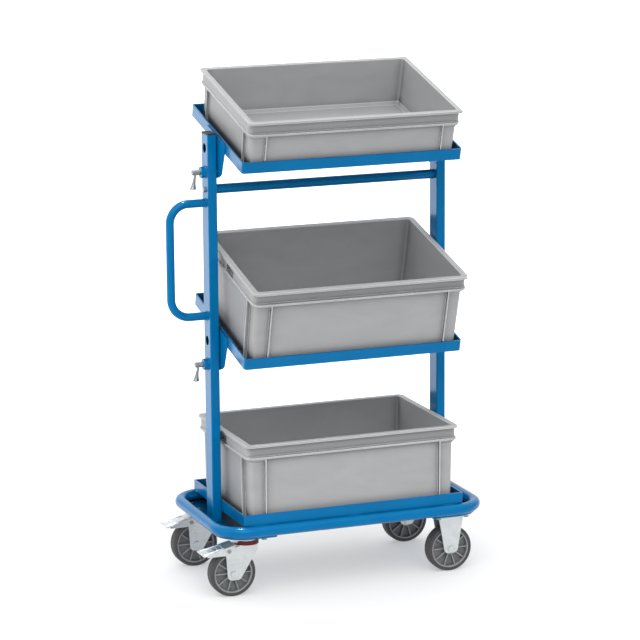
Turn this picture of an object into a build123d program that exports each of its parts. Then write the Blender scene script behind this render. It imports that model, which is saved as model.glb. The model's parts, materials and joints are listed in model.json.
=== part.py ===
from build123d import *
import os
from math import cos, degrees, radians, sin, sqrt

os.makedirs("parts", exist_ok=True)

# Sizes are in millimetres. The drawing datum is midway between the two uprights on the floor:
# the push handle is at -X, the low front of the tilted shelves at -Y.

# Crates: two deep ones with hand grips and a shallow one with closed ends
deep_crate_length = 600.0
deep_crate_width = 400.0
deep_crate_height = 210.0
deep_overhang = 13.0
deep_rim_corner = 18.0
shallow_shorter = 12.0
shallow_narrower = 4.0
shallow_crate_height = 133.0
shallow_overhang = 10.0
shallow_rim_corner = 5.0
shallow_end_pad = 6.0
rim_thickness = 6.0
rim_round = 1.5
band_inset = 2.0
band_thickness = 5.0
band_depth = 38.0
band_skirt = 14.0
crate_draft = 3.0
crate_corner = 10.0
crate_wall = 3.0
crate_floor = 3.5
crate_bevel = 8.0
crate_rib = 3.0
crate_rib_step = 1.0
side_rib_inset = 41.0
end_rib_inset = 45.0
hand_grip_width = 56.0
hand_grip_pad = 8.0
crate_gap = 0.6

# Shelf trays of steel angle
tray_room = 4.0
base_tray_room = 2.0
angle_leg = 30.0
angle_wall = 4.0
tray_corner = 9.0
base_tray_corner = 3.0

# Tilting: the pivots lie under the middle of each tray
shelf_tilt = 14.5
flattest_tilt = 0.0
steepest_tilt = 30.0
pivot_drop = 10.0
middle_pivot_height = 653.5
shelf_spacing = 510.5

# Tilt brackets on the tray ends
bracket_wall = 4.0
bracket_gap = 2.0
bracket_rise = 36.0
bracket_top_half = 76.0
bracket_foot_half = 62.0
bracket_reach = 80.0
bracket_corner = 10.0
slot_radius = 63.0
slot_clearance = 0.3

# Base ring, its end plates and the uprights
ring_end_outset = 32.5
ring_side_outset = 7.0
ring_corner = 76.0
ring_tube = 30.0
tube_wall = 2.0
vent_hole = 8.0
end_plate = 5.0
end_plate_length = 145.5
upright_thickness = 25.0
upright_depth = 50.0
upright_corner = 3.0
upright_rise = 36.0
access_hole = 25.0
cap_height = 5.0
cap_plug = 14.0
cap_round = 2.0
cap_clearance = 0.2

# Crossbar and push handle
crossbar_tube = 25.0
crossbar_drop = 109.0
insert_length = 20.0
insert_clearance = 0.1
handle_tube = 22.0
handle_reach = 98.0
handle_drop = 144.0
handle_height = 300.0
handle_bend = 50.0

# M8 fasteners
bolt_size = 8.0
bolt_hole_clearance = 0.2
bolt_head = 5.3
bolt_across_flats = 13.0
nut_height = 6.5
thread_clearance = 0.05
bolt_tip = 1.0
countersink_size = 16.0
countersink_clearance = 0.05
spacer_size = 20.0

# Clamps of the tilting shelves
clamp_bush_size = 30.0
clamp_bush_length = 13.0
stud_head_size = 18.0
stud_head = 4.5
lever_hub_size = 14.0
lever_hub_length = 22.0
lever_drop = 44.0
lever_lean = 8.0
lever_arm_inset = 10.0
lever_neck = 8.0
lever_end_size = 16.0
lever_end_thickness = 18.0
lever_round = 1.5

# Gaps between pieces that move past each other
side_gap = 0.3
running_clearance = 0.05

# Casters
wheel_size = 125.0
tyre_width = 36.0
tyre_round = 7.0
tyre_depth = 9.5
wheel_head_room = 11.0
wheel_rim_inset = 2.0
wheel_rim_band = 4.0
web_thickness = 8.0
wheel_hub_size = 32.0
rib_count = 10
rib_thickness = 3.0
rib_inset = 3.0
axle_size = 12.0
axle_across_flats = 17.0
axle_head = 5.0
caster_end_inset = 79.5
caster_side_inset = 57.0
caster_trail = 42.0
fork_gap = 2.0
fork_wall = 3.0
top_plate_length = 105.0
top_plate_width = 85.0
top_plate = 4.0
top_plate_corner = 8.0
bolt_spacing_long = 80.0
nut_gap = 0.5

# Swivel head of the steered casters
swivel_boss_size = 58.0
swivel_boss = 8.0
seal_size = 66.0
seal_bore = 40.0
seal_height = 9.7
crown_size = 72.0
crown_plate = 3.0
kingpin_size = 12.0
kingpin_head_size = 24.0
kingpin_head = 5.0

# Outline of the swivel fork's legs, from the swivel axis and from the axle
leg_front = 24.0
leg_shoulder = 10.0
leg_slope_start = 34.0
leg_slope_drop = 7.0
leg_back = 64.0
leg_ear = 18.0
leg_foot_half = 17.0
leg_foot_drop = 16.5
leg_foot_round = 12.0

# Legs of the fixed forks
fixed_leg_top_half = 36.0
fixed_leg_foot_half = 18.0
fixed_leg_foot_drop = 11.0

# Brake pedals, from the swivel axis and from the crown's underside
pedal_wall = 2.5
pedal_start = 38.0
pedal_tip = 127.0
pedal_start_rise = 6.0
pedal_tip_drop = 15.0
pedal_tread_start = 104.0
pedal_tread_width = 60.0
cheek_drop = 21.0
cheek_toe = 116.0
cheek_heel_drop = 14.0
cheek_heel = 44.0
rivet_edge = 8.0
rivet_drop = 9.5
rivet_size = 7.0
rivet_head_size = 11.0
rivet_head = 1.5

# Places worked out from the sizes
shallow_crate_length = deep_crate_length - shallow_shorter
shallow_crate_width = deep_crate_width - shallow_narrower
tray_length = deep_crate_length + 2 * tray_room
tray_width = deep_crate_width + 2 * tray_room
base_tray_width = deep_crate_width + 2 * base_tray_room
inner_face = tray_length / 2 + bracket_wall + bracket_gap
outer_face = inner_face + upright_thickness
upright_x = inner_face + upright_thickness / 2
ring_length = 2 * (outer_face + ring_end_outset)
ring_width = base_tray_width + 2 * ring_side_outset
caster_x = ring_length / 2 - caster_end_inset
caster_y = ring_width / 2 - caster_side_inset
rim_size = wheel_size - 2 * tyre_depth
wheel_rim_width = tyre_width - 2 * wheel_rim_inset
rib_width = wheel_rim_width - 2 * rib_inset
wheel_centre = wheel_size / 2
crown_under = wheel_size + wheel_head_room
crown_top = crown_under + crown_plate
caster_plate_under = crown_top + seal_height + side_gap + swivel_boss
caster_top = caster_plate_under + top_plate
plate_top = caster_top + end_plate
ring_height = plate_top + ring_tube / 2
fork_inner_width = tyre_width + 2 * fork_gap
leg_outer = fork_inner_width / 2 + fork_wall
bolt_spacing_wide = 2 * (leg_outer + nut_gap) + bolt_across_flats
rivet_x = leg_back - rivet_edge
cheek_inner = leg_outer + side_gap
cheek_outer = cheek_inner + pedal_wall
upper_pivot_height = middle_pivot_height + shelf_spacing
upright_top = upper_pivot_height + upright_rise
crossbar_height = upper_pivot_height - crossbar_drop
handle_high = upper_pivot_height - handle_drop
handle_low = handle_high - handle_height
clamp_heights = {"upper": upper_pivot_height - slot_radius, "middle": middle_pivot_height - slot_radius}
pivot_heights = {"upper": upper_pivot_height, "middle": middle_pivot_height}
crate_seat = pivot_drop + angle_wall
nut_face = tray_length / 2 - side_gap
bolt_hole = bolt_size / 2 + bolt_hole_clearance
thread_bore = bolt_size / 2 + thread_clearance
pivot_bore = bolt_size / 2 + running_clearance
countersink_bore = countersink_size / 2 + countersink_clearance

# The base tray's long edges rest on the ring's front and back runs, and are relieved where the ring bends
base_tray_height = ring_height + sqrt((ring_tube / 2) ** 2 - ring_side_outset ** 2)
bend_start = ring_length / 2 - ring_corner
bend_edge = ring_corner - ring_side_outset
relief_depth = bend_edge - sqrt(bend_edge ** 2 - (inner_face - bend_start) ** 2) + side_gap
relief_rise = angle_wall / 2

# Play of the crates' ribs inside the tray lips: the tilted crates have slid forward,
# and the middle one also stands to the right
rib_outset = crate_rib_step + band_inset + crate_draft - crate_gap - angle_wall
deep_slide = (tray_width - deep_crate_width) / 2 + rib_outset
deep_shift = (tray_length - deep_crate_length) / 2 + rib_outset
shallow_slide = (tray_width - shallow_crate_width) / 2 + rib_outset

# The origin is on the floor in the middle of the whole trolley
tilt_sin = sin(radians(shelf_tilt))
tilt_cos = cos(radians(shelf_tilt))
front_reach = (deep_crate_width / 2 + deep_slide) * tilt_cos + (crate_seat + deep_crate_height) * tilt_sin
back_reach = ring_width / 2 + ring_tube / 2
handle_end = outer_face + handle_reach + handle_tube / 2
ring_end = ring_length / 2 + ring_tube / 2
datum_x = (handle_end - ring_end) / 2
datum_y = (front_reach - back_reach) / 2

sides = (("left", -1), ("right", 1))
rows = (("front", -1), ("rear", 1))
shelves = ("upper", "middle")


def level(x, y, z):
    """Plane that looks up, at a place given from the datum."""
    return Plane(origin=(datum_x + x, datum_y + y, z))


def end_plane(x, y, z):
    """Plane that looks along +X, with Y to its right and Z up."""
    return Plane(origin=(datum_x + x, datum_y + y, z), x_dir=(0, 1, 0), z_dir=(1, 0, 0))


def side_plane(x, y, z):
    """Plane that looks along -Y, with X to its right and Z up."""
    return Plane(origin=(datum_x + x, datum_y + y, z), x_dir=(1, 0, 0), z_dir=(0, -1, 0))


def shelf_plane(pivot_height, rise, shift=0, slide=0):
    """Plane of a tilted shelf at a height above its pivot line, moved to the right and forward."""
    origin = (datum_x + shift, datum_y - slide * tilt_cos, pivot_height - slide * tilt_sin)
    return Plane(origin=origin, x_dir=(1, 0, 0), z_dir=(0, -tilt_sin, tilt_cos)).offset(rise)


def bracket_plane(x, pivot_height):
    """Plane across the pivot line, with the tilted shelf's depth to its right and its normal up."""
    return Plane(origin=(datum_x + x, datum_y, pivot_height), x_dir=(0, tilt_cos, tilt_sin), z_dir=(1, 0, 0))


# Base ring: one bent tube, drawn as a half and its mirror image, with a drain hole under its front run
with BuildPart() as base_ring:
    with BuildLine(level(0, 0, ring_height)) as ring_path:
        FilletPolyline(
            (0, -ring_width / 2),
            (ring_length / 2, -ring_width / 2),
            (ring_length / 2, ring_width / 2),
            (0, ring_width / 2),
            radius=ring_corner,
        )
    with BuildSketch(end_plane(0, -ring_width / 2, ring_height)):
        Circle(ring_tube / 2)
        Circle(ring_tube / 2 - tube_wall, mode=Mode.SUBTRACT)
    sweep(path=ring_path.line)
    mirror(about=end_plane(0, 0, ring_height))
    with BuildSketch(level(0, -ring_width / 2, plate_top)):
        Circle(vent_hole / 2)
    extrude(amount=ring_tube / 2, mode=Mode.SUBTRACT)
base_ring.part.label = "base_ring"
export_step(base_ring.part, "parts/base_ring.step")

# End plates under the ring, with countersunk holes for the casters
for side, sign in sides:
    with BuildPart() as plate:
        with BuildSketch(level(0, 0, caster_top)) as outline:
            with Locations((sign * (ring_length - end_plate_length) / 2, 0)):
                Rectangle(end_plate_length, ring_width)
            fillet(outline.vertices().sort_by(Axis.X, reverse=sign > 0)[:2], ring_corner)
        extrude(amount=end_plate)
        with Locations(*[level(sign * caster_x, row_sign * caster_y, plate_top) for row, row_sign in rows]):
            with GridLocations(bolt_spacing_long, bolt_spacing_wide, 2, 2):
                CounterSinkHole(bolt_hole, countersink_bore, counter_sink_angle=90)
    plate.part.label = f"{side}_end_plate"
    export_step(plate.part, f"parts/{side}_end_plate.step")


def angle_tray(seat, length, width, corner):
    """Open frame of steel angle with its lip up and its flange turned inwards."""
    with BuildPart() as tray:
        with BuildSketch(seat):
            RectangleRounded(length, width, corner)
        extrude(amount=angle_leg)
        with BuildSketch(seat.offset(angle_wall)):
            Rectangle(length - 2 * angle_wall, width - 2 * angle_wall)
        extrude(amount=angle_leg - angle_wall, mode=Mode.SUBTRACT)
        with BuildSketch(seat):
            Rectangle(length - 2 * angle_leg, width - 2 * angle_leg)
        extrude(amount=angle_wall, mode=Mode.SUBTRACT)
    return tray


# Base tray, relieved under its corners, and the two tilting trays
tray = angle_tray(level(0, 0, base_tray_height), 2 * inner_face, base_tray_width, base_tray_corner)
with BuildPart() as base_tray:
    add(tray.part)
    for side, sign in sides:
        for row, row_sign in rows:
            edge = row_sign * base_tray_width / 2
            with BuildSketch(level(0, 0, base_tray_height)):
                with BuildLine():
                    Polyline(
                        (sign * bend_start, edge),
                        (sign * inner_face, edge),
                        (sign * inner_face, edge - row_sign * relief_depth),
                        close=True,
                    )
                make_face()
            extrude(amount=relief_rise, mode=Mode.SUBTRACT)
base_tray.part.label = "base_tray"
export_step(base_tray.part, "parts/base_tray.step")

for shelf in shelves:
    tray = angle_tray(shelf_plane(pivot_heights[shelf], pivot_drop), tray_length, tray_width, tray_corner)
    tray.part.label = f"{shelf}_tray"
    export_step(tray.part, f"parts/{shelf}_tray.step")

# Tilt brackets: plates on the tray ends with the pivot hole and the arc slot of the clamp
foot_rise = -sqrt(bracket_reach ** 2 - bracket_foot_half ** 2)
tilt_play = degrees(slot_clearance / slot_radius)
slot_start = 270 - steepest_tilt - tilt_play
slot_path = CenterArc((0, 0), slot_radius, slot_start, steepest_tilt - flattest_tilt + 2 * tilt_play)
for shelf in shelves:
    for side, sign in sides:
        bracket_x = min(sign * tray_length / 2, sign * (tray_length / 2 + bracket_wall))
        with BuildPart() as bracket:
            with BuildSketch(bracket_plane(bracket_x, pivot_heights[shelf])) as outline:
                with BuildLine():
                    Polyline(
                        (-bracket_foot_half, foot_rise),
                        (-bracket_top_half, bracket_rise),
                        (bracket_top_half, bracket_rise),
                        (bracket_foot_half, foot_rise),
                    )
                    ThreePointArc(
                        (bracket_foot_half, foot_rise),
                        (0, -bracket_reach),
                        (-bracket_foot_half, foot_rise),
                    )
                make_face()
                fillet(outline.vertices(), bracket_corner)
                Circle(pivot_bore, mode=Mode.SUBTRACT)
                SlotArc(slot_path, bolt_size + 2 * slot_clearance, mode=Mode.SUBTRACT)
            extrude(amount=bracket_wall)
        bracket.part.label = f"{shelf}_{side}_bracket"
        export_step(bracket.part, f"parts/{shelf}_{side}_bracket.step")

# Uprights: rectangular tube on the end plates
for side, sign in sides:
    through_heights = [crossbar_height]
    if side == "left":
        through_heights += clamp_heights.values()
    with BuildPart() as upright:
        with BuildSketch(level(sign * upright_x, 0, plate_top)):
            RectangleRounded(upright_thickness, upright_depth, upright_corner)
            RectangleRounded(
                upright_thickness - 2 * tube_wall,
                upright_depth - 2 * tube_wall,
                upright_corner - tube_wall,
                mode=Mode.SUBTRACT,
            )
        extrude(amount=upright_top - plate_top)
        for height in pivot_heights.values():
            with BuildSketch(end_plane(sign * upright_x, 0, height)):
                Circle(bolt_hole)
            extrude(amount=-sign * upright_thickness, mode=Mode.SUBTRACT)
            with BuildSketch(end_plane(sign * upright_x, 0, height)):
                Circle(access_hole / 2)
            extrude(amount=sign * upright_thickness, mode=Mode.SUBTRACT)
        for height in through_heights:
            with BuildSketch(end_plane(sign * upright_x, 0, height)):
                Circle(bolt_hole)
            extrude(amount=upright_thickness, both=True, mode=Mode.SUBTRACT)
    upright.part.label = f"{side}_upright"
    export_step(upright.part, f"parts/{side}_upright.step")

    with BuildPart() as cap:
        with BuildSketch(level(sign * upright_x, 0, upright_top)):
            RectangleRounded(upright_thickness, upright_depth, upright_corner)
        extrude(amount=cap_height)
        fillet(cap.faces().sort_by(Axis.Z)[-1].edges(), cap_round)
        with BuildSketch(level(sign * upright_x, 0, upright_top)):
            RectangleRounded(
                upright_thickness - 2 * tube_wall - 2 * cap_clearance,
                upright_depth - 2 * tube_wall - 2 * cap_clearance,
                upright_corner - tube_wall,
            )
        extrude(amount=-cap_plug)
    cap.part.label = f"{side}_upright_cap"
    export_step(cap.part, f"parts/{side}_upright_cap.step")

# Crossbar between the uprights, with a threaded insert in each end and a bolt from each outer face
with BuildPart() as crossbar:
    with BuildSketch(end_plane(-inner_face, 0, crossbar_height)):
        Circle(crossbar_tube / 2)
        Circle(crossbar_tube / 2 - tube_wall, mode=Mode.SUBTRACT)
    extrude(amount=2 * inner_face)
crossbar.part.label = "crossbar"
export_step(crossbar.part, "parts/crossbar.step")

with BuildPart() as crossbar_inserts:
    for side, sign in sides:
        with BuildSketch(end_plane(sign * inner_face, 0, crossbar_height)):
            Circle(crossbar_tube / 2 - tube_wall - insert_clearance)
            Circle(thread_bore, mode=Mode.SUBTRACT)
        extrude(amount=-sign * insert_length)
crossbar_inserts.part.label = "crossbar_inserts"
export_step(crossbar_inserts.part, "parts/crossbar_inserts.step")

with BuildPart() as crossbar_bolts:
    for side, sign in sides:
        with BuildSketch(end_plane(sign * outer_face, 0, crossbar_height)):
            RegularPolygon(bolt_across_flats / 2, 6, major_radius=False)
        extrude(amount=sign * bolt_head)
        with BuildSketch(end_plane(sign * outer_face, 0, crossbar_height)):
            Circle(bolt_size / 2)
        extrude(amount=-sign * (upright_thickness + insert_length - bolt_tip))
crossbar_bolts.part.label = "crossbar_bolts"
export_step(crossbar_bolts.part, "parts/crossbar_bolts.step")

# Push handle: a bent tube on the left upright's outer face
with BuildPart() as push_handle:
    with BuildLine(side_plane(0, 0, 0)) as handle_path:
        FilletPolyline(
            (-outer_face, handle_high),
            (-outer_face - handle_reach, handle_high),
            (-outer_face - handle_reach, handle_low),
            (-outer_face, handle_low),
            radius=handle_bend,
        )
    with BuildSketch(Plane(origin=handle_path.line @ 0, z_dir=(-1, 0, 0))):
        Circle(handle_tube / 2)
        Circle(handle_tube / 2 - tube_wall, mode=Mode.SUBTRACT)
    sweep(path=handle_path.line)
push_handle.part.label = "push_handle"
export_step(push_handle.part, "parts/push_handle.step")

# Pivot bolts, spacers and nuts of the two tilting shelves
with BuildPart() as pivot_bolts:
    for height in pivot_heights.values():
        for side, sign in sides:
            with BuildSketch(end_plane(sign * (inner_face + tube_wall), 0, height)):
                RegularPolygon(bolt_across_flats / 2, 6, major_radius=False)
            extrude(amount=sign * bolt_head)
            with BuildSketch(end_plane(sign * (inner_face + tube_wall), 0, height)):
                Circle(bolt_size / 2)
            extrude(amount=-sign * (inner_face + tube_wall - nut_face + nut_height + bolt_tip))
pivot_bolts.part.label = "pivot_bolts"
export_step(pivot_bolts.part, "parts/pivot_bolts.step")

with BuildPart() as pivot_spacers:
    for height in pivot_heights.values():
        for side, sign in sides:
            with BuildSketch(end_plane(sign * inner_face, 0, height)):
                Circle(spacer_size / 2)
                Circle(bolt_hole, mode=Mode.SUBTRACT)
            extrude(amount=-sign * (bracket_gap - side_gap))
pivot_spacers.part.label = "pivot_spacers"
export_step(pivot_spacers.part, "parts/pivot_spacers.step")

with BuildPart() as pivot_nuts:
    for height in pivot_heights.values():
        for side, sign in sides:
            with BuildSketch(end_plane(sign * nut_face, 0, height)):
                RegularPolygon(bolt_across_flats / 2, 6, major_radius=False)
                Circle(thread_bore, mode=Mode.SUBTRACT)
            extrude(amount=-sign * nut_height)
pivot_nuts.part.label = "pivot_nuts"
export_step(pivot_nuts.part, "parts/pivot_nuts.step")

# Clamps on the left upright: a stud through the bracket's slot, a bush and a lever nut
with BuildPart() as clamp_spacers:
    for height in clamp_heights.values():
        with BuildSketch(end_plane(-inner_face, 0, height)):
            Circle(spacer_size / 2)
            Circle(bolt_hole, mode=Mode.SUBTRACT)
        extrude(amount=bracket_gap - side_gap)
clamp_spacers.part.label = "clamp_spacers"
export_step(clamp_spacers.part, "parts/clamp_spacers.step")

bush_end = outer_face + clamp_bush_length
lever_start = bush_end + side_gap
lever_end = lever_start + lever_hub_length
lever_sections = (
    (0, lever_neck, lever_hub_size),
    (0.5, lever_neck, lever_neck),
    (1, lever_end_thickness, lever_end_size),
)
for shelf in shelves:
    height = clamp_heights[shelf]
    with BuildPart() as clamp_bush:
        with BuildSketch(end_plane(-outer_face, 0, height)):
            Circle(clamp_bush_size / 2)
            Circle(bolt_hole, mode=Mode.SUBTRACT)
        extrude(amount=-clamp_bush_length)
        chamfer(clamp_bush.faces().sort_by(Axis.X)[0].edges(), bolt_tip)
    clamp_bush.part.label = f"{shelf}_clamp_bush"
    export_step(clamp_bush.part, f"parts/{shelf}_clamp_bush.step")

    with BuildPart() as clamp_stud:
        with BuildSketch(end_plane(-nut_face, 0, height)):
            Circle(stud_head_size / 2)
        extrude(amount=stud_head)
        fillet(clamp_stud.faces().sort_by(Axis.X)[-1].edges(), stud_head / 2)
        with BuildSketch(end_plane(-nut_face, 0, height)):
            Circle(bolt_size / 2)
        extrude(amount=-(lever_end - nut_face - lever_neck / 2))
    clamp_stud.part.label = f"{shelf}_clamp_stud"
    export_step(clamp_stud.part, f"parts/{shelf}_clamp_stud.step")

    with BuildPart() as clamp_lever:
        for share, thickness, width in lever_sections:
            arm_x = lever_arm_inset - lever_end - share * lever_lean
            with BuildSketch(level(arm_x, 0, height - share * lever_drop)):
                Ellipse(thickness / 2, width / 2)
        loft()
        fillet(clamp_lever.faces().sort_by(Axis.Z)[0].edges(), lever_round)
        with BuildSketch(end_plane(-lever_start, 0, height)):
            Circle(lever_hub_size / 2)
        extrude(amount=-lever_hub_length)
        with BuildSketch(end_plane(-lever_start, 0, height)):
            Circle(pivot_bore)
        extrude(amount=-(lever_hub_length - lever_neck / 2 + running_clearance), mode=Mode.SUBTRACT)
    clamp_lever.part.label = f"{shelf}_clamp_lever"
    export_step(clamp_lever.part, f"parts/{shelf}_clamp_lever.step")


def crate_body(seat, length, width, height, overhang, rim_corner, end_pad):
    """Stacking crate: drafted ribbed walls, a band under a recess, a flat rim and a bevelled floor.

    End pads make the recess shallower at the ends.
    """
    wall_length = length - 2 * overhang
    wall_width = width - 2 * overhang
    foot_length = wall_length - 2 * crate_draft
    foot_width = wall_width - 2 * crate_draft
    band_overhang = overhang - band_inset
    rib_depth = band_overhang - crate_rib_step
    band_under = height - band_depth
    inner_corner = crate_corner - crate_wall
    inner_length = foot_length - 2 * crate_wall
    inner_width = foot_width - 2 * crate_wall
    with BuildPart() as ribs:
        with BuildSketch(seat):
            RectangleRounded(foot_length + 2 * rib_depth, foot_width + 2 * rib_depth, crate_corner)
        with BuildSketch(seat.offset(height)):
            RectangleRounded(wall_length + 2 * rib_depth, wall_width + 2 * rib_depth, crate_corner)
        loft()
        with BuildSketch(seat):
            with GridLocations(wall_length - 2 * side_rib_inset, 0, 2, 1):
                Rectangle(crate_rib, width)
            with GridLocations(0, wall_width - 2 * end_rib_inset, 1, 2):
                Rectangle(length, crate_rib)
        extrude(amount=band_under, mode=Mode.INTERSECT)
    with BuildPart() as skirts:
        with BuildSketch(seat.offset(band_under - band_skirt)):
            RectangleRounded(foot_length, foot_width, crate_corner)
        with BuildSketch(seat.offset(band_under)):
            RectangleRounded(
                wall_length + 2 * band_overhang,
                wall_width + 2 * band_overhang,
                crate_corner + band_overhang,
            )
        loft()
        with BuildSketch(seat):
            with GridLocations(wall_length, wall_width, 2, 2):
                Rectangle(2 * side_rib_inset, 2 * end_rib_inset)
        extrude(amount=height, mode=Mode.INTERSECT)
    with BuildPart() as crate:
        with BuildSketch(seat):
            RectangleRounded(foot_length, foot_width, crate_corner)
        with BuildSketch(seat.offset(height)):
            RectangleRounded(wall_length, wall_width, crate_corner)
        loft()
        add(ribs.part)
        add(skirts.part)
        with BuildSketch(seat.offset(band_under)):
            RectangleRounded(
                wall_length + 2 * band_overhang,
                wall_width + 2 * band_overhang,
                crate_corner + band_overhang,
            )
        extrude(amount=band_thickness)
        with BuildSketch(seat.offset(band_under)):
            RectangleRounded(wall_length + 2 * end_pad, wall_width, crate_corner)
        extrude(amount=band_depth - rim_thickness / 2)
        with BuildSketch(seat.offset(height - rim_thickness)):
            RectangleRounded(length, width, rim_corner)
        extrude(amount=rim_thickness)
        with BuildSketch(seat.offset(crate_floor)):
            RectangleRounded(inner_length - 2 * crate_bevel, inner_width - 2 * crate_bevel, inner_corner)
        with BuildSketch(seat.offset(crate_floor + crate_bevel)):
            RectangleRounded(inner_length, inner_width, inner_corner)
        with BuildSketch(seat.offset(height)):
            RectangleRounded(wall_length - 2 * crate_wall, wall_width - 2 * crate_wall, inner_corner)
        loft(ruled=True, mode=Mode.SUBTRACT)
        rim_face = crate.faces().sort_by(Axis(seat.origin, seat.z_dir))[-1]
        fillet(rim_face.edges(), rim_round)
    return crate


# Deep crates, with a hand grip cut out of the pad at each end
grip_foot = deep_crate_height - band_depth + band_thickness
deep_places = {
    "bottom_crate": level(0, 0, base_tray_height + angle_wall),
    "middle_crate": shelf_plane(middle_pivot_height, crate_seat, deep_shift, deep_slide),
}
for crate_name, seat in deep_places.items():
    shell = crate_body(
        seat,
        deep_crate_length,
        deep_crate_width,
        deep_crate_height,
        deep_overhang,
        deep_rim_corner,
        hand_grip_pad,
    )
    with BuildPart() as deep_crate:
        add(shell.part)
        with BuildSketch(seat.offset(grip_foot)):
            with GridLocations(deep_crate_length - 2 * deep_overhang + hand_grip_pad, 0, 2, 1):
                Rectangle(hand_grip_pad, hand_grip_width)
        extrude(amount=band_depth - band_thickness - rim_thickness, mode=Mode.SUBTRACT)
    deep_crate.part.label = crate_name
    export_step(deep_crate.part, f"parts/{crate_name}.step")

# Shallow crate
top_crate = crate_body(
    shelf_plane(upper_pivot_height, crate_seat, 0, shallow_slide),
    shallow_crate_length,
    shallow_crate_width,
    shallow_crate_height,
    shallow_overhang,
    shallow_rim_corner,
    shallow_end_pad,
)
top_crate.part.label = "top_crate"
export_step(top_crate.part, "parts/top_crate.step")


def wheel(caster, x, y):
    """Tyre, ribbed rim and axle of one caster."""
    spin_axis = Axis(level(x, y, wheel_centre).origin, (0, 1, 0))
    with BuildPart() as tyre:
        with BuildSketch(end_plane(x, y, wheel_centre)) as section:
            with Locations((0, (wheel_size + rim_size) / 4)):
                Rectangle(tyre_width, (wheel_size - rim_size) / 2)
            fillet(section.vertices().group_by(Axis.Y)[-1], tyre_round)
        revolve(axis=spin_axis)
    tyre.part.label = f"{caster}_tyre"
    export_step(tyre.part, f"parts/{caster}_tyre.step")

    hub_bore = axle_size / 2 + running_clearance
    band_inner = rim_size / 2 - wheel_rim_band
    with BuildPart() as rim:
        with BuildSketch(end_plane(x, y, wheel_centre)):
            with Locations((0, (hub_bore + wheel_hub_size / 2) / 2)):
                Rectangle(fork_inner_width - 2 * side_gap, wheel_hub_size / 2 - hub_bore)
            with Locations((0, (hub_bore + rim_size / 2) / 2)):
                Rectangle(web_thickness, rim_size / 2 - hub_bore)
            with Locations((0, (band_inner + rim_size / 2) / 2)):
                Rectangle(wheel_rim_width, wheel_rim_band)
        revolve(axis=spin_axis)
        with BuildSketch(side_plane(x, y, wheel_centre)):
            with PolarLocations((wheel_hub_size / 2 + band_inner) / 2, rib_count):
                Rectangle(band_inner - wheel_hub_size / 2 + wheel_rim_band, rib_thickness)
        extrude(amount=rib_width / 2, both=True)
    rim.part.label = f"{caster}_rim"
    export_step(rim.part, f"parts/{caster}_rim.step")

    with BuildPart() as axle:
        with BuildSketch(side_plane(x, y, wheel_centre)):
            Circle(axle_size / 2)
        extrude(amount=leg_outer, both=True)
        with BuildSketch(side_plane(x, y - leg_outer, wheel_centre)):
            RegularPolygon(axle_across_flats / 2, 6, major_radius=False)
        extrude(amount=axle_head)
        with BuildSketch(side_plane(x, y + leg_outer, wheel_centre)):
            Circle(axle_across_flats / 2)
        extrude(amount=-axle_head)
        fillet(axle.faces().sort_by(Axis.Y)[-1].edges(), axle_head / 2)
    axle.part.label = f"{caster}_axle"
    export_step(axle.part, f"parts/{caster}_axle.step")


def drilled_plate(x, y):
    """Caster top plate with its four bolt holes."""
    with BuildPart() as plate:
        with BuildSketch(level(x, y, caster_plate_under)):
            RectangleRounded(top_plate_length, top_plate_width, top_plate_corner)
            with GridLocations(bolt_spacing_long, bolt_spacing_wide, 2, 2):
                Circle(bolt_hole, mode=Mode.SUBTRACT)
        extrude(amount=top_plate)
    return plate


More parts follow.
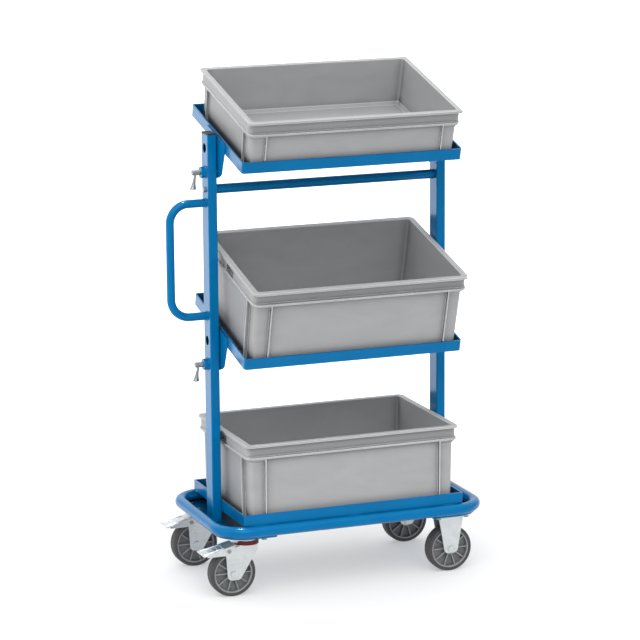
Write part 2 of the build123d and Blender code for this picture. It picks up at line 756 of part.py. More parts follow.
# Steered casters on the left, with a swivel head and a brake pedal
for row, sign in rows:
    caster = f"left_{row}"
    x = -caster_x
    y = sign * caster_y
    wheel(caster, x - caster_trail, y)

    plate = drilled_plate(x, y)
    with BuildPart() as top:
        add(plate.part)
        with BuildSketch(level(x, y, caster_plate_under)):
            Circle(swivel_boss_size / 2)
        extrude(amount=-swivel_boss)
        with BuildSketch(level(x, y, caster_top)):
            Circle(kingpin_size / 2 + running_clearance)
        extrude(amount=-top_plate - swivel_boss, mode=Mode.SUBTRACT)
    top.part.label = f"{caster}_top_plate"
    export_step(top.part, f"parts/{caster}_top_plate.step")

    with BuildPart() as kingpin:
        with BuildSketch(level(x, y, caster_top)):
            Circle(kingpin_size / 2)
        extrude(amount=-(caster_top - crown_under + side_gap))
        with BuildSketch(level(x, y, crown_under - side_gap)):
            Circle(kingpin_head_size / 2)
        extrude(amount=-kingpin_head)
    kingpin.part.label = f"{caster}_kingpin"
    export_step(kingpin.part, f"parts/{caster}_kingpin.step")

    with BuildPart() as seal:
        with BuildSketch(level(x, y, crown_top)):
            Circle(seal_size / 2)
            Circle(seal_bore / 2, mode=Mode.SUBTRACT)
        extrude(amount=seal_height)
    seal.part.label = f"{caster}_seal_ring"
    export_step(seal.part, f"parts/{caster}_seal_ring.step")

    with BuildPart() as fork:
        with BuildSketch(level(x, y, crown_under)):
            Circle(crown_size / 2)
            with Locations(((leg_front - leg_slope_start) / 2, 0)):
                Rectangle(leg_front + leg_slope_start, 2 * leg_outer, mode=Mode.INTERSECT)
            Circle(kingpin_size / 2 + running_clearance, mode=Mode.SUBTRACT)
        extrude(amount=crown_plate)
        for leg_y in (y - fork_inner_width / 2, y + leg_outer):
            with BuildSketch(side_plane(x, leg_y, 0)) as leg:
                with BuildLine():
                    Polyline(
                        (leg_front, crown_under),
                        (-leg_slope_start, crown_under),
                        (-leg_back, crown_under - leg_slope_drop),
                        (-leg_back, crown_under - leg_ear),
                        (-caster_trail - leg_foot_half, wheel_centre - leg_foot_drop),
                        (-caster_trail + leg_foot_half, wheel_centre - leg_foot_drop),
                        (leg_front, crown_under - leg_shoulder),
                        close=True,
                    )
                make_face()
                fillet(leg.vertices().group_by(Axis.Y)[0], leg_foot_round)
                with Locations((-caster_trail, wheel_centre)):
                    Circle(axle_size / 2 + running_clearance, mode=Mode.SUBTRACT)
                with Locations((-rivet_x, crown_under - rivet_drop)):
                    Circle(rivet_size / 2 + running_clearance, mode=Mode.SUBTRACT)
            extrude(amount=fork_wall)
    fork.part.label = f"{caster}_fork"
    export_step(fork.part, f"parts/{caster}_fork.step")

    with BuildPart() as pedal:
        slope = (pedal_start_rise + pedal_tip_drop) / (pedal_tip - pedal_start)
        tread_rise = pedal_start_rise - slope * (pedal_tread_start - pedal_start)
        toe_rise = pedal_start_rise - slope * (cheek_toe - pedal_start)
        for start, rise, width in (
            (pedal_start, pedal_start_rise, 2 * cheek_outer),
            (pedal_tread_start, tread_rise, pedal_tread_width),
        ):
            with BuildSketch(side_plane(x, y, crown_under)):
                with BuildLine():
                    Polyline(
                        (-start, rise),
                        (-pedal_tip, -pedal_tip_drop),
                        (-pedal_tip, -pedal_tip_drop - pedal_wall),
                        (-start, rise - pedal_wall),
                        close=True,
                    )
                make_face()
            extrude(amount=width / 2, both=True)
        for cheek_y in (y - cheek_inner, y + cheek_outer):
            with BuildSketch(side_plane(x, cheek_y, crown_under)):
                with BuildLine():
                    Polyline(
                        (-pedal_start, pedal_start_rise),
                        (-cheek_toe, toe_rise),
                        (-cheek_toe, -cheek_drop),
                        (-leg_back, -cheek_drop),
                        (-cheek_heel, -cheek_heel_drop),
                        close=True,
                    )
                make_face()
                with Locations((-rivet_x, -rivet_drop)):
                    Circle(rivet_size / 2 + running_clearance, mode=Mode.SUBTRACT)
            extrude(amount=pedal_wall)
    pedal.part.label = f"{caster}_brake_pedal"
    export_step(pedal.part, f"parts/{caster}_brake_pedal.step")

    with BuildPart() as rivets:
        for outward in (-1, 1):
            with BuildSketch(side_plane(x, y + outward * fork_inner_width / 2, crown_under)):
                with Locations((-rivet_x, -rivet_drop)):
                    Circle(rivet_size / 2)
            extrude(amount=-outward * (cheek_outer + side_gap - fork_inner_width / 2))
            with BuildSketch(side_plane(x, y + outward * (cheek_outer + side_gap), crown_under)):
                with Locations((-rivet_x, -rivet_drop)):
                    Circle(rivet_head_size / 2)
            extrude(amount=-outward * rivet_head)
    rivets.part.label = f"{caster}_pedal_rivets"
    export_step(rivets.part, f"parts/{caster}_pedal_rivets.step")

# Fixed casters on the right: plate and legs pressed from one sheet
for row, sign in rows:
    caster = f"right_{row}"
    x = caster_x
    y = sign * caster_y
    wheel(caster, x, y)

    plate = drilled_plate(x, y)
    with BuildPart() as fork:
        add(plate.part)
        for leg_y in (y - fork_inner_width / 2, y + leg_outer):
            with BuildSketch(side_plane(x, leg_y, 0)) as leg:
                with BuildLine():
                    Polyline(
                        (-fixed_leg_top_half, caster_plate_under),
                        (-fixed_leg_foot_half, wheel_centre - fixed_leg_foot_drop),
                        (fixed_leg_foot_half, wheel_centre - fixed_leg_foot_drop),
                        (fixed_leg_top_half, caster_plate_under),
                        close=True,
                    )
                make_face()
                fillet(leg.vertices().group_by(Axis.Y)[0], leg_foot_round)
                with Locations((0, wheel_centre)):
                    Circle(axle_size / 2 + running_clearance, mode=Mode.SUBTRACT)
            extrude(amount=fork_wall)
    fork.part.label = f"{caster}_fork"
    export_step(fork.part, f"parts/{caster}_fork.step")

# Countersunk bolts and nuts that hold the casters under the end plates
caster_places = [(sign_x * caster_x, sign_y * caster_y) for side, sign_x in sides for row, sign_y in rows]
bolt_end = caster_plate_under - nut_height - bolt_tip
with BuildPart() as caster_bolts:
    for x, y in caster_places:
        with BuildSketch(level(x, y, bolt_end)):
            with GridLocations(bolt_spacing_long, bolt_spacing_wide, 2, 2):
                Circle(bolt_size / 2)
        extrude(amount=plate_top - bolt_end)
        with Locations(level(x, y, plate_top)):
            with GridLocations(bolt_spacing_long, bolt_spacing_wide, 2, 2):
                Cone(
                    bolt_size / 2,
                    countersink_size / 2,
                    (countersink_size - bolt_size) / 2,
                    align=(Align.CENTER, Align.CENTER, Align.MAX),
                )
caster_bolts.part.label = "caster_bolts"
export_step(caster_bolts.part, "parts/caster_bolts.step")

with BuildPart() as caster_nuts:
    for x, y in caster_places:
        with BuildSketch(level(x, y, caster_plate_under)):
            with GridLocations(bolt_spacing_long, bolt_spacing_wide, 2, 2):
                RegularPolygon(bolt_across_flats / 2, 6, major_radius=False)
                Circle(thread_bore, mode=Mode.SUBTRACT)
        extrude(amount=-nut_height)
caster_nuts.part.label = "caster_nuts"
export_step(caster_nuts.part, "parts/caster_nuts.step")
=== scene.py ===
"""Dress the shelf trolley: finishes, weld seams, relief on the brake pedals, floor, light and camera."""
import json
import math

import bmesh
import bpy
from mathutils import Matrix, Vector


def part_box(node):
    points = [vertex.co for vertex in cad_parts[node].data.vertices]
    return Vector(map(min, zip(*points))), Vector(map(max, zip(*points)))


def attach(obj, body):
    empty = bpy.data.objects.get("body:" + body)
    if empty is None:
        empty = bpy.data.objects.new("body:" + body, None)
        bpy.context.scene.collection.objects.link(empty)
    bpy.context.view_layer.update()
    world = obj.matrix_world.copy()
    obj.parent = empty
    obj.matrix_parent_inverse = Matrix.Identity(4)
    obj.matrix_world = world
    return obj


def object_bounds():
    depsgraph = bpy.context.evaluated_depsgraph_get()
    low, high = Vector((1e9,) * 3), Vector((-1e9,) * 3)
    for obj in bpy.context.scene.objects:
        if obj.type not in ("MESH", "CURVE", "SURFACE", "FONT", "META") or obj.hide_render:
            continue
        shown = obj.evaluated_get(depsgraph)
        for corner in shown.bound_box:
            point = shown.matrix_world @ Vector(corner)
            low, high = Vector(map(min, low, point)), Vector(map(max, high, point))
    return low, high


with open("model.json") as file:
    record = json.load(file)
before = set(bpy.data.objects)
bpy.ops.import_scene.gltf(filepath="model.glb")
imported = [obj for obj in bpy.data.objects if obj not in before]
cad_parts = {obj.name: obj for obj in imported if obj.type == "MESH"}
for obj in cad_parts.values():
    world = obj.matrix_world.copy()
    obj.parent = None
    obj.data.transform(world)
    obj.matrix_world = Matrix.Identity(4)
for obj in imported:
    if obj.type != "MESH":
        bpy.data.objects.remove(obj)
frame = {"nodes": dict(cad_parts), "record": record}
cad_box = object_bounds()
nodes = frame["nodes"]
scene = bpy.context.scene

ALONG_X = Vector((1.0, 0.0, 0.0))
ALONG_Y = Vector((0.0, 1.0, 0.0))
ALONG_Z = Vector((0.0, 0.0, 1.0))

# Camera, as seen in the photograph: angles in degrees, lengths in metres, sensor and lens in millimetres
YAW = 21.12
PITCH = 11.89
ROLL = 0.414
AIM = Vector((-0.01723, 0.0, 0.68218))
DISTANCE = 8.1087
SENSOR = 36.0
LENS = 171.4
FAR_LIMIT = 100.0

# Pieces of bare metal given a darker copy of the zinc as painted shade, by the last word of their names
PAINTED_SHADE_PIECES = ("lever", "bolts", "nuts", "stud", "rivets")

# Weld seams: lengths in metres, ripples and ends as shares of a bead's radius, turns in radians a ring
SEAM_STEP = 0.0022
SEAM_SIDES = 10
SEAM_RIPPLE = 0.12
RIPPLE_TURN = 1.05
RIPPLE_DRIFT = 0.6
DRIFT_TURN = 0.37
SEAM_END = 0.45
SEAM_SWELL = 0.2
SEAM_LEVEL_SHARE = 0.1
CIRCLE_STEPS = 40
FOOT_BEAD = 0.0030
FOOT_BEAD_LIFT = 0.4
TRAY_BEAD = 0.0032
TRAY_BEAD_SUNK = 0.0005
TRAY_SEAM_HALF = 0.020
TRAY_SEAM_PLACES = (-0.269, 0.0, 0.268)
ROUND_BEAD = 0.0026
HANDLE_RADIUS = 0.011

# Raised border and bars on the treads of the brake pedals, in metres
TREAD_RISE = 0.0012
TREAD_SUNK = 0.0004
TREAD_SLOPE = 0.0007
TREAD_MARGIN = 0.0050
TREAD_LENGTH = 0.054
TREAD_HALF = 0.019
TREAD_BAR = 0.0032
TREAD_BARS = 5

# A face can be the tread where the upward share of its normal is above this
TREAD_LEVEL = 0.9

# Floor: half its size and the stretches along Y where its front and back begin, in metres, and its glow
FLOOR_HALF = 40.0
FLOOR_FRONT = (-2.4, -1.1)
FLOOR_BACK = (0.6, 2.5)
FRONT_GLOW = 0.18
FLOOR_GLOW = 0.34
BACK_GLOW = 0.60

# Soft room: its glow, and the upward or backward share of a ray where ceiling and back wall begin and end
ROOM_GLOW = 0.30
CEILING_GLOW = 0.90
CEILING_RISE = (0.10, 0.75)
BACK_WALL_GLOW = 0.50
BACK_WALL_RISE = (0.2, 0.9)

# The camera's place is measured from the floor point midway between the uprights
left_low, left_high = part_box("left_upright")
_, right_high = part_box("right_upright")
floor_middle = Vector(((left_low.x + right_high.x) / 2, (left_low.y + left_high.y) / 2, 0.0))


# Building blocks of the finishes

EDGE_SAMPLES = 4
CREVICE_SAMPLES = 8

# Sockets of the Mix node that hold colours
MIX_FIRST = 6
MIX_SECOND = 7
MIX_RESULT = 2


def start(name):
    """A new material: the material, its tree, its shader and its texture coordinates."""
    material = bpy.data.materials.new(name)
    material.use_nodes = True
    tree = material.node_tree
    shader = tree.nodes["Principled BSDF"]
    coords = tree.nodes.new("ShaderNodeTexCoord")
    return material, tree, shader, coords


def stretched(tree, place, scale):
    """The place stretched by a factor along each axis."""
    mapping = tree.nodes.new("ShaderNodeMapping")
    mapping.inputs["Scale"].default_value = scale
    tree.links.new(place, mapping.inputs["Vector"])
    return mapping.outputs["Vector"]


def axis_of(tree, vector, axis):
    """One of the three numbers of a vector."""
    node = tree.nodes.new("ShaderNodeSeparateXYZ")
    tree.links.new(vector, node.inputs["Vector"])
    return node.outputs[axis]


def maths(tree, operation, *values):
    """A sum on one value or on two."""
    node = tree.nodes.new("ShaderNodeMath")
    node.operation = operation
    for value, socket in zip(values, node.inputs):
        tree.links.new(value, socket)
    return node.outputs["Value"]


def noise(tree, place, scale, detail=4.0, rough=0.55, twist=0.0):
    """Cloudy grain, with so many clouds to the metre."""
    node = tree.nodes.new("ShaderNodeTexNoise")
    node.inputs["Scale"].default_value = scale
    node.inputs["Detail"].default_value = detail
    node.inputs["Roughness"].default_value = rough
    node.inputs["Distortion"].default_value = twist
    tree.links.new(place, node.inputs["Vector"])
    return node.outputs[0]


def cells(tree, place, scale):
    """Flat crystal cells with a random shade each."""
    node = tree.nodes.new("ShaderNodeTexVoronoi")
    node.inputs["Scale"].default_value = scale
    tree.links.new(place, node.inputs["Vector"])
    return node.outputs["Color"]


def span(tree, value, low, high, start_at=0.0, end_at=1.0):
    """A value that goes from low to high while the given one goes from start_at to end_at."""
    node = tree.nodes.new("ShaderNodeMapRange")
    node.inputs["From Min"].default_value = start_at
    node.inputs["From Max"].default_value = end_at
    node.inputs["To Min"].default_value = low
    node.inputs["To Max"].default_value = high
    tree.links.new(value, node.inputs["Value"])
    return node.outputs["Result"]


def shades(tree, value, stops):
    """Colours along a value: a list of (place on the ramp, colour)."""
    node = tree.nodes.new("ShaderNodeValToRGB")
    elements = node.color_ramp.elements
    while len(elements) < len(stops):
        elements.new(0.5)
    for element, (position, colour) in zip(elements, stops):
        element.position = position
        element.color = (*colour, 1.0)
    tree.links.new(value, node.inputs["Fac"])
    return node.outputs["Color"]


def mixed(tree, value, first, second):
    """Two colours mixed by a value."""
    node = tree.nodes.new("ShaderNodeMix")
    node.data_type = "RGBA"
    tree.links.new(value, node.inputs["Factor"])
    tree.links.new(first, node.inputs[MIX_FIRST])
    tree.links.new(second, node.inputs[MIX_SECOND])
    return node.outputs[MIX_RESULT]


def softened(tree, radius):
    """A normal that rounds the sharp edges of a piece."""
    node = tree.nodes.new("ShaderNodeBevel")
    node.samples = EDGE_SAMPLES
    node.inputs["Radius"].default_value = radius
    return node.outputs["Normal"]


def edges(tree, radius, low, high):
    """A mask that is 1 on the piece's edges: there the rounded normal leaves the plain one."""
    rounded = softened(tree, radius)
    geometry = tree.nodes.new("ShaderNodeNewGeometry")
    match = tree.nodes.new("ShaderNodeVectorMath")
    match.operation = "DOT_PRODUCT"
    tree.links.new(rounded, match.inputs[0])
    tree.links.new(geometry.outputs["Normal"], match.inputs[1])
    return span(tree, match.outputs["Value"], 0.0, 1.0, low, high)


def crevices(tree, reach, low, high, alone=True):
    """A mask that is 1 in recesses and inner corners of the piece alone, or between pieces too: where shade
    falls, for painted shade.
    """
    node = tree.nodes.new("ShaderNodeAmbientOcclusion")
    node.samples = CREVICE_SAMPLES
    node.only_local = alone
    node.inputs["Distance"].default_value = reach
    return span(tree, node.outputs["AO"], 1.0, 0.0, low, high)


def facing(tree, coords, axis, low, high):
    """A mask that is 1 on faces that look along an axis, either way."""
    look = axis_of(tree, coords.outputs["Normal"], axis)
    return span(tree, maths(tree, "ABSOLUTE", look), 0.0, 1.0, low, high)


def bumped(tree, height, depth, strength, normal):
    """Small relief on top of a normal."""
    node = tree.nodes.new("ShaderNodeBump")
    node.inputs["Strength"].default_value = strength
    node.inputs["Distance"].default_value = depth
    tree.links.new(height, node.inputs["Height"])
    tree.links.new(normal, node.inputs["Normal"])
    return node.outputs["Normal"]


def dress(tree, shader, colour, roughness, normal):
    """Join the colour, the roughness and the relief to the shader."""
    tree.links.new(colour, shader.inputs["Base Color"])
    tree.links.new(roughness, shader.inputs["Roughness"])
    tree.links.new(normal, shader.inputs["Normal"])


# Finishes

def blue_paint():
    """Powder coat: orange peel, a cloudy tone and a few rubs of higher roughness, with painted shade in
    corners and on level faces under other pieces.
    """
    material, tree, shader, coords = start("blue_paint")
    place = coords.outputs["Object"]
    tone = noise(tree, place, scale=9.0, detail=5.0)
    bright = shades(tree, tone, [
        (0.25, (0.0, 0.125, 0.314)),
        (0.55, (0.0, 0.139, 0.343)),
        (0.80, (0.0, 0.153, 0.370)),
    ])
    # Painted shade: a dark blue laid in corners and on level faces that other pieces cover from above
    painted_shade_blue = shades(tree, tone, [(0.3, (0.0, 0.030, 0.075)), (0.7, (0.0, 0.040, 0.095))])
    corners = mixed(tree, crevices(tree, reach=0.040, low=0.30, high=0.85), bright, painted_shade_blue)
    flat = facing(tree, coords, "Z", low=0.6, high=0.9)
    # Painted shade on level faces under other pieces, where their shade falls
    covered = crevices(tree, reach=0.12, low=0.40, high=0.80, alone=False)
    colour = mixed(tree, maths(tree, "MULTIPLY", flat, covered), corners, painted_shade_blue)
    upright = stretched(tree, place, (1.0, 1.0, 0.3))
    rubs = noise(tree, upright, scale=60.0, detail=6.0, rough=0.65, twist=0.6)
    roughness = span(tree, rubs, 0.14, 0.26, start_at=0.3, end_at=0.75)
    peel = noise(tree, place, scale=520.0, detail=2.0)
    normal = bumped(tree, peel, depth=0.00006, strength=0.25, normal=softened(tree, radius=0.0006))
    dress(tree, shader, colour, roughness, normal)
    shader.inputs["Specular IOR Level"].default_value = 0.5
    shader.inputs["Specular Tint"].default_value = (0.05, 0.40, 0.90, 1.0)
    shader.inputs["Coat Weight"].default_value = 0.12
    shader.inputs["Coat Roughness"].default_value = 0.08
    return material


def zinc(name, tones):
    """Zinc plate in three tones: fine crystals, cloudy passivation and rolling lines, with painted shade in
    its tight crevices.
    """
    material, tree, shader, coords = start(name)
    place = coords.outputs["Object"]
    cloud = noise(tree, place, scale=38.0, detail=5.0, rough=0.6)
    crystals = cells(tree, place, scale=420.0)
    tint = shades(tree, cloud, list(zip((0.25, 0.55, 0.80), tones)))
    roughness = span(tree, cloud, 0.24, 0.40, start_at=0.25, end_at=0.75)
    lines = noise(tree, stretched(tree, place, (900.0, 900.0, 60.0)), scale=1.0, detail=3.0)
    grain = bumped(tree, lines, depth=0.00003, strength=0.4, normal=softened(tree, radius=0.0007))
    normal = bumped(tree, crystals, depth=0.00002, strength=0.5, normal=grain)
    # Painted shade: a dark tone laid in the tight crevices, where shade falls
    painted_crevice_shade = shades(tree, cloud, [(0.3, (0.12, 0.13, 0.14)), (0.7, (0.18, 0.19, 0.20))])
    colour = mixed(tree, crevices(tree, reach=0.006, low=0.15, high=0.75), tint, painted_crevice_shade)
    dress(tree, shader, colour, roughness, normal)
    shader.inputs["Metallic"].default_value = 0.85
    return material


def grey_crate():
    """Moulded polypropylene: fine spark grain, flow marks and light scuffs, with painted shade in recesses
    and in gaps at the ends, and a painted highlight along the edges.
    """
    material, tree, shader, coords = start("grey_crate")
    place = coords.outputs["Object"]
    flow = noise(tree, stretched(tree, place, (1.0, 1.0, 2.4)), scale=6.0, detail=4.0, rough=0.5, twist=1.2)
    base = shades(tree, flow, [
        (0.25, (0.330, 0.334, 0.339)),
        (0.60, (0.355, 0.359, 0.363)),
        (0.85, (0.376, 0.380, 0.384)),
    ])
    scuffed = shades(tree, flow, [
        (0.2, (0.390, 0.394, 0.398)),
        (0.8, (0.418, 0.421, 0.425)),
    ])
    # Painted shade for the recesses
    painted_recess_shade = shades(tree, flow, [
        (0.2, (0.170, 0.173, 0.178)),
        (0.8, (0.195, 0.198, 0.203)),
    ])
    # Painted shade for the ends, where other pieces stand close
    painted_gap_shade = shades(tree, flow, [
        (0.2, (0.040, 0.038, 0.037)),
        (0.8, (0.055, 0.053, 0.052)),
    ])
    # Painted highlight: a pale tone for the edges, where they catch the light
    painted_edge_highlight = shades(tree, flow, [
        (0.2, (0.690, 0.694, 0.698)),
        (0.8, (0.750, 0.753, 0.757)),
    ])
    scuffs = noise(tree, stretched(tree, place, (4.0, 4.0, 30.0)), scale=14.0, detail=8.0, rough=0.7)
    worn = mixed(tree, span(tree, scuffs, 0.0, 0.55, start_at=0.60, end_at=0.78), base, scuffed)
    # Painted shade in the crate's own recesses and inner corners
    shaded = mixed(tree, crevices(tree, reach=0.030, low=0.30, high=0.95), worn, painted_recess_shade)
    # Painted shade on the ends, in the gaps that other pieces cover
    at_ends = facing(tree, coords, "X", low=0.6, high=0.9)
    covered = crevices(tree, reach=0.028, low=0.40, high=0.75, alone=False)
    darkened = mixed(tree, maths(tree, "MULTIPLY", at_ends, covered), shaded, painted_gap_shade)
    # Painted highlight along the edges
    colour = mixed(tree, edges(tree, radius=0.0036, low=0.985, high=0.88), darkened, painted_edge_highlight)
    roughness = span(tree, scuffs, 0.36, 0.52, start_at=0.3, end_at=0.75)
    grain = noise(tree, place, scale=1500.0, detail=2.0)
    normal = bumped(tree, grain, depth=0.00005, strength=0.35, normal=softened(tree, radius=0.0007))
    dress(tree, shader, colour, roughness, normal)
    shader.inputs["Specular IOR Level"].default_value = 0.35
    return material


def wheel_grey():
    """Wheel centre: recessed panels darkened with painted shade, raised ribs and ring lightened with a
    painted highlight.
    """
    material, tree, shader, coords = start("wheel_grey")
    place = coords.outputs["Object"]
    across = axis_of(tree, coords.outputs["Generated"], "Y")
    off_middle = maths(tree, "ABSOLUTE", span(tree, across, -0.5, 0.5))
    cloud = noise(tree, place, scale=60.0, detail=5.0)
    # Painted shade for the recessed panels
    panel_painted_shade = shades(tree, cloud, [
        (0.3, (0.120, 0.127, 0.132)),
        (0.7, (0.165, 0.172, 0.177)),
    ])
    # Painted highlight for the raised ribs and ring
    rib_painted_highlight = shades(tree, cloud, [
        (0.3, (0.21, 0.22, 0.23)),
        (0.7, (0.28, 0.29, 0.30)),
    ])
    colour = mixed(tree, span(tree, off_middle, 0.0, 1.0, start_at=0.24, end_at=0.30), panel_painted_shade, rib_painted_highlight)
    roughness = span(tree, cloud, 0.36, 0.52, start_at=0.25, end_at=0.75)
    grain = noise(tree, place, scale=900.0, detail=2.0)
    normal = bumped(tree, grain, depth=0.00005, strength=0.4, normal=softened(tree, radius=0.0007))
    dress(tree, shader, colour, roughness, normal)
    return material


def plain_moulding(name, dark, light, low_rough, high_rough, grain_scale, grain_depth):
    """A moulded piece with a soft cloudy tone and a fine grain."""
    material, tree, shader, coords = start(name)
    place = coords.outputs["Object"]
    cloud = noise(tree, place, scale=45.0, detail=6.0, rough=0.6)
    colour = shades(tree, cloud, [(0.25, dark), (0.75, light)])
    roughness = span(tree, cloud, low_rough, high_rough, start_at=0.25, end_at=0.75)
    grain = noise(tree, place, grain_scale, detail=3.0)
    normal = bumped(tree, grain, grain_depth, strength=0.5, normal=softened(tree, radius=0.0008))
    dress(tree, shader, colour, roughness, normal)
    shader.inputs["Specular IOR Level"].default_value = 0.3
    return material


finishes = {
    "blue_paint": blue_paint(),
    "zinc": zinc("zinc", [(0.54, 0.57, 0.58), (0.63, 0.66, 0.67), (0.70, 0.71, 0.70)]),
    "grey_crate": grey_crate(),
    "wheel_grey": wheel_grey(),
    "black_plastic": plain_moulding(
        "black_plastic", dark=(0.012, 0.012, 0.014), light=(0.022, 0.022, 0.025),
        low_rough=0.38, high_rough=0.55, grain_scale=1400.0, grain_depth=0.00006),
    "red_seal": plain_moulding(
        "red_seal", dark=(0.110, 0.002, 0.004), light=(0.150, 0.003, 0.006),
        low_rough=0.35, high_rough=0.50, grain_scale=1200.0, grain_depth=0.00005),
    "tyre_rubber": plain_moulding(
        "tyre_rubber", dark=(0.046, 0.047, 0.048), light=(0.062, 0.063, 0.064),
        low_rough=0.50, high_rough=0.68, grain_scale=1100.0, grain_depth=0.00008),
}
# A darker copy of the zinc: painted shade
painted_shade_zinc = zinc("painted_shade_zinc", [(0.24, 0.26, 0.26), (0.29, 0.31, 0.31), (0.34, 0.36, 0.35)])
slots = {part["node"]: part["material_slot"] for part in frame["record"]["subparts"]}
for node, piece in nodes.items():
    piece.data.materials.clear()
    # These pieces take the darker copy of the zinc, painted shade
    if node.split("_")[-1] in PAINTED_SHADE_PIECES:
        piece.data.materials.append(painted_shade_zinc)
    else:
        piece.data.materials.append(finishes[slots[node]])


# Weld seams

def new_piece(name, mesh, finish):
    """A piece of the scene from a finished mesh."""
    bmesh.ops.recalc_face_normals(mesh, faces=mesh.faces)
    data = bpy.data.meshes.new(name)
    mesh.to_mesh(data)
    mesh.free()
    data.materials.append(finishes[finish])
    piece = bpy.data.objects.new(name, data)
    scene.collection.objects.link(piece)
    return piece


def seam(name, points, radius, body):
    """A weld bead along a row of points: a tube with overlapping ripples and thin ends."""
    path = []
    for first, second in zip(points, points[1:]):
        count = max(2, round((second - first).length / SEAM_STEP))
        for step in range(count):
            path.append(first.lerp(second, step / count))
    path.append(points[-1])
    mesh = bmesh.new()
    rings = []
    for index, middle in enumerate(path):
        before = path[max(index - 1, 0)]
        after = path[min(index + 1, len(path) - 1)]
        along = (after - before).normalized()
        # An upright stretch takes its side from the X axis
        side = along.cross(ALONG_Z)
        if side.length < SEAM_LEVEL_SHARE:
            side = along.cross(ALONG_X)
        side.normalize()
        up = side.cross(along)
        wave = abs(math.sin(index * RIPPLE_TURN + RIPPLE_DRIFT * math.sin(index * DRIFT_TURN)))
        ripple = 1.0 - SEAM_RIPPLE + SEAM_RIPPLE * wave
        from_end = min(index, len(path) - 1 - index)
        taper = min(1.0, SEAM_END + SEAM_SWELL * from_end)
        size = radius * ripple * taper
        ring = []
        for turn in range(SEAM_SIDES):
            angle = 2 * math.pi * turn / SEAM_SIDES
            offset = side * (size * math.cos(angle)) + up * (size * math.sin(angle))
            ring.append(mesh.verts.new(middle + offset))
        rings.append(ring)
    for one, two in zip(rings, rings[1:]):
        for turn in range(SEAM_SIDES):
            following = (turn + 1) % SEAM_SIDES
            mesh.faces.new((one[turn], one[following], two[following], two[turn]))
    mesh.faces.new(list(reversed(rings[0])))
    mesh.faces.new(rings[-1])
    piece = new_piece(name, mesh, "blue_paint")
    for face in piece.data.polygons:
        face.use_smooth = True
    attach(piece, body)


def circle(middle, axis_one, axis_two, radius):
    """Points once round a circle."""
    points = []
    for step in range(CIRCLE_STEPS + 1):
        angle = 2 * math.pi * step / CIRCLE_STEPS
        points.append(middle + axis_one * (radius * math.cos(angle)) + axis_two * (radius * math.sin(angle)))
    return points


# Feet of the uprights on the end plates
for side in ("left", "right"):
    low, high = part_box(f"{side}_upright")
    level = low.z + FOOT_BEAD * FOOT_BEAD_LIFT
    corners = [Vector((x, y, level)) for x, y in (
        (low.x, low.y), (high.x, low.y), (high.x, high.y), (low.x, high.y))]
    for index, corner in enumerate(corners):
        following = corners[(index + 1) % len(corners)]
        seam(f"{side}_foot_seam_{index + 1}", [corner, following], FOOT_BEAD, "frame")

# Tray on the front and back tubes of the base ring
tray_low, tray_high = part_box("base_tray")
for index, place in enumerate(TRAY_SEAM_PLACES):
    for edge, y in (("front", tray_low.y), ("back", tray_high.y)):
        middle = Vector((floor_middle.x + place, y, tray_low.z - TRAY_BEAD_SUNK))
        ends = [middle - ALONG_X * TRAY_SEAM_HALF, middle + ALONG_X * TRAY_SEAM_HALF]
        seam(f"tray_{edge}_seam_{index + 1}", ends, TRAY_BEAD, "frame")

# Push handle and clamp bushes on the left upright
handle_low, handle_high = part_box("push_handle")
for index, z in enumerate((handle_low.z + HANDLE_RADIUS, handle_high.z - HANDLE_RADIUS)):
    middle = Vector((left_low.x, (handle_low.y + handle_high.y) / 2, z))
    seam(f"handle_seam_{index + 1}", circle(middle, ALONG_Y, ALONG_Z, HANDLE_RADIUS), ROUND_BEAD, "frame")
for name in ("upper", "middle"):
    low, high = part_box(f"{name}_clamp_bush")
    middle = Vector((left_low.x, (low.y + high.y) / 2, (low.z + high.z) / 2))
    seam(f"{name}_bush_seam", circle(middle, ALONG_Y, ALONG_Z, (high.z - low.z) / 2), ROUND_BEAD, "frame")


# Raised border and bars on the treads of the brake pedals

def tread_bar(mesh, middle, along, up, length, width):
    """A low bar on the tread, with sides that slope in to the top."""
    low = []
    high = []
    for one, two in ((-0.5, -0.5), (0.5, -0.5), (0.5, 0.5), (-0.5, 0.5)):
        foot = along * (one * length) + ALONG_Y * (two * width)
        top = along * (one * (length - 2 * TREAD_SLOPE)) + ALONG_Y * (two * (width - 2 * TREAD_SLOPE))
        low.append(mesh.verts.new(middle + foot - up * TREAD_SUNK))
        high.append(mesh.verts.new(middle + top + up * TREAD_RISE))
    mesh.faces.new(list(reversed(low)))
    mesh.faces.new(high)
    for index in range(len(low)):
        following = (index + 1) % len(low)
        mesh.faces.new((low[index], low[following], high[following], high[index]))


for side in ("left_front", "left_rear"):
    pedal = nodes[f"{side}_brake_pedal"]
    low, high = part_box(f"{side}_brake_pedal")
    turned = pedal.matrix_world.to_3x3()
    facing_up = [face for face in pedal.data.polygons if (turned @ face.normal).z > TREAD_LEVEL]
    tread = max(facing_up, key=lambda face: face.area)
    up = (turned @ tread.normal).normalized()
    along = ALONG_Y.cross(up)
    on_tread = pedal.matrix_world @ tread.center
    tip = on_tread + along * ((low.x - on_tread.x) / along.x)
    tip.y = (low.y + high.y) / 2
    relief = bmesh.new()
    for step in range(TREAD_BARS):
        middle = tip + along * (TREAD_MARGIN + TREAD_LENGTH * step / (TREAD_BARS - 1))
        tread_bar(relief, middle, along, up, TREAD_BAR, 2 * TREAD_HALF - TREAD_BAR)
    for edge in (-1, 1):
        middle = tip + along * (TREAD_MARGIN + TREAD_LENGTH / 2) + ALONG_Y * (edge * TREAD_HALF)
        tread_bar(relief, middle, along, up, TREAD_LENGTH + TREAD_BAR, TREAD_BAR)
    relief_piece = new_piece(f"{side}_pedal_relief", relief, "zinc")
    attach(relief_piece, f"{side}_pedal")


# Floor

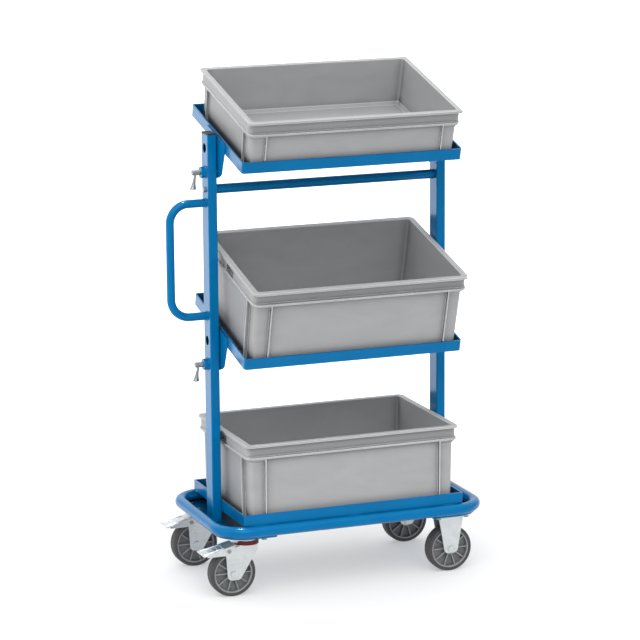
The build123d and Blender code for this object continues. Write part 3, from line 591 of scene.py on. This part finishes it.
def floor_finish():
    """Pale matt floor: brighter behind the trolley, a little greyer far in front of it."""
    material, tree, shader, coords = start("pale_floor")
    place = coords.outputs["Object"]
    depth = axis_of(tree, place, "Y")
    cloud = noise(tree, place, scale=0.8, detail=3.0)
    near = shades(tree, cloud, [(0.3, (0.55, 0.55, 0.55)), (0.7, (0.57, 0.57, 0.57))])
    front = shades(tree, cloud, [(0.3, (0.35, 0.35, 0.35)), (0.7, (0.37, 0.37, 0.37))])
    colour = mixed(tree, span(tree, depth, 0.0, 1.0, *FLOOR_FRONT), front, near)
    near_glow = span(tree, depth, FRONT_GLOW, FLOOR_GLOW, *FLOOR_FRONT)
    back_glow = span(tree, depth, 0.0, BACK_GLOW, *FLOOR_BACK)
    tree.links.new(colour, shader.inputs["Base Color"])
    tree.links.new(maths(tree, "ADD", near_glow, back_glow), shader.inputs["Emission Strength"])
    shader.inputs["Emission Color"].default_value = (1.0, 1.0, 1.0, 1.0)
    shader.inputs["Roughness"].default_value = 0.9
    shader.inputs["Specular IOR Level"].default_value = 0.1
    return material


floor_data = bpy.data.meshes.new("floor")
floor_data.from_pydata(
    [(-FLOOR_HALF, -FLOOR_HALF, 0.0), (FLOOR_HALF, -FLOOR_HALF, 0.0),
     (FLOOR_HALF, FLOOR_HALF, 0.0), (-FLOOR_HALF, FLOOR_HALF, 0.0)],
    [], [(0, 1, 2, 3)])
floor_data.materials.append(floor_finish())
floor = bpy.data.objects.new("floor", floor_data)
floor.location.z = cad_box[0][2]
scene.collection.objects.link(floor)


# Light

def lamp(name, towards, spread, power, glints_only=False):
    """Soft light from one side: the way towards it, its spread in degrees and its power."""
    data = bpy.data.lights.new(name, "SUN")
    data.angle = math.radians(spread)
    data.energy = power
    holder = bpy.data.objects.new(name, data)
    holder.rotation_euler = (-Vector(towards)).to_track_quat("-Z", "Y").to_euler()
    holder.visible_diffuse = not glints_only
    scene.collection.objects.link(holder)


lamp("left_fill", towards=(-0.90, -0.12, 0.36), spread=50.0, power=0.5)
lamp("front_fill", towards=(0.10, -1.0, 0.26), spread=60.0, power=0.22)
lamp("front_key", towards=(-0.25, -0.72, 0.66), spread=50.0, power=1.35)
lamp("ceiling_strip", towards=(0.0, 0.10, 1.0), spread=6.0, power=4.0, glints_only=True)

# Glow of the room around the trolley
world = bpy.data.worlds.new("studio")
world.use_nodes = True
studio = world.node_tree
backdrop = studio.nodes["Background"]
backdrop.inputs["Color"].default_value = (1.0, 1.0, 1.0, 1.0)
way = studio.nodes.new("ShaderNodeTexCoord").outputs["Generated"]
ceiling = span(studio, axis_of(studio, way, "Z"), ROOM_GLOW, ROOM_GLOW + CEILING_GLOW, *CEILING_RISE)
back_wall = span(studio, axis_of(studio, way, "Y"), 0.0, BACK_WALL_GLOW, *BACK_WALL_RISE)
studio.links.new(maths(studio, "ADD", ceiling, back_wall), backdrop.inputs["Strength"])
scene.world = world
scene.view_settings.view_transform = "Standard"
scene.view_settings.look = "None"

# Camera
yaw, pitch, roll = (math.radians(angle) for angle in (YAW, PITCH, ROLL))
forward = Vector((
    math.sin(yaw) * math.cos(pitch),
    math.cos(yaw) * math.cos(pitch),
    -math.sin(pitch),
))
level_right = forward.cross(ALONG_Z).normalized()
level_down = forward.cross(level_right)
right = level_right * math.cos(roll) + level_down * math.sin(roll)
down = forward.cross(right)
eye = AIM + floor_middle - forward * DISTANCE
camera_data = bpy.data.cameras.new("camera")
camera_data.sensor_width = SENSOR
camera_data.lens = LENS
camera_data.clip_end = FAR_LIMIT
camera = bpy.data.objects.new("camera", camera_data)
turn = Matrix((right, -down, -forward)).transposed().to_4x4()
camera.matrix_world = Matrix.Translation(eye) @ turn
scene.collection.objects.link(camera)
scene.camera = camera
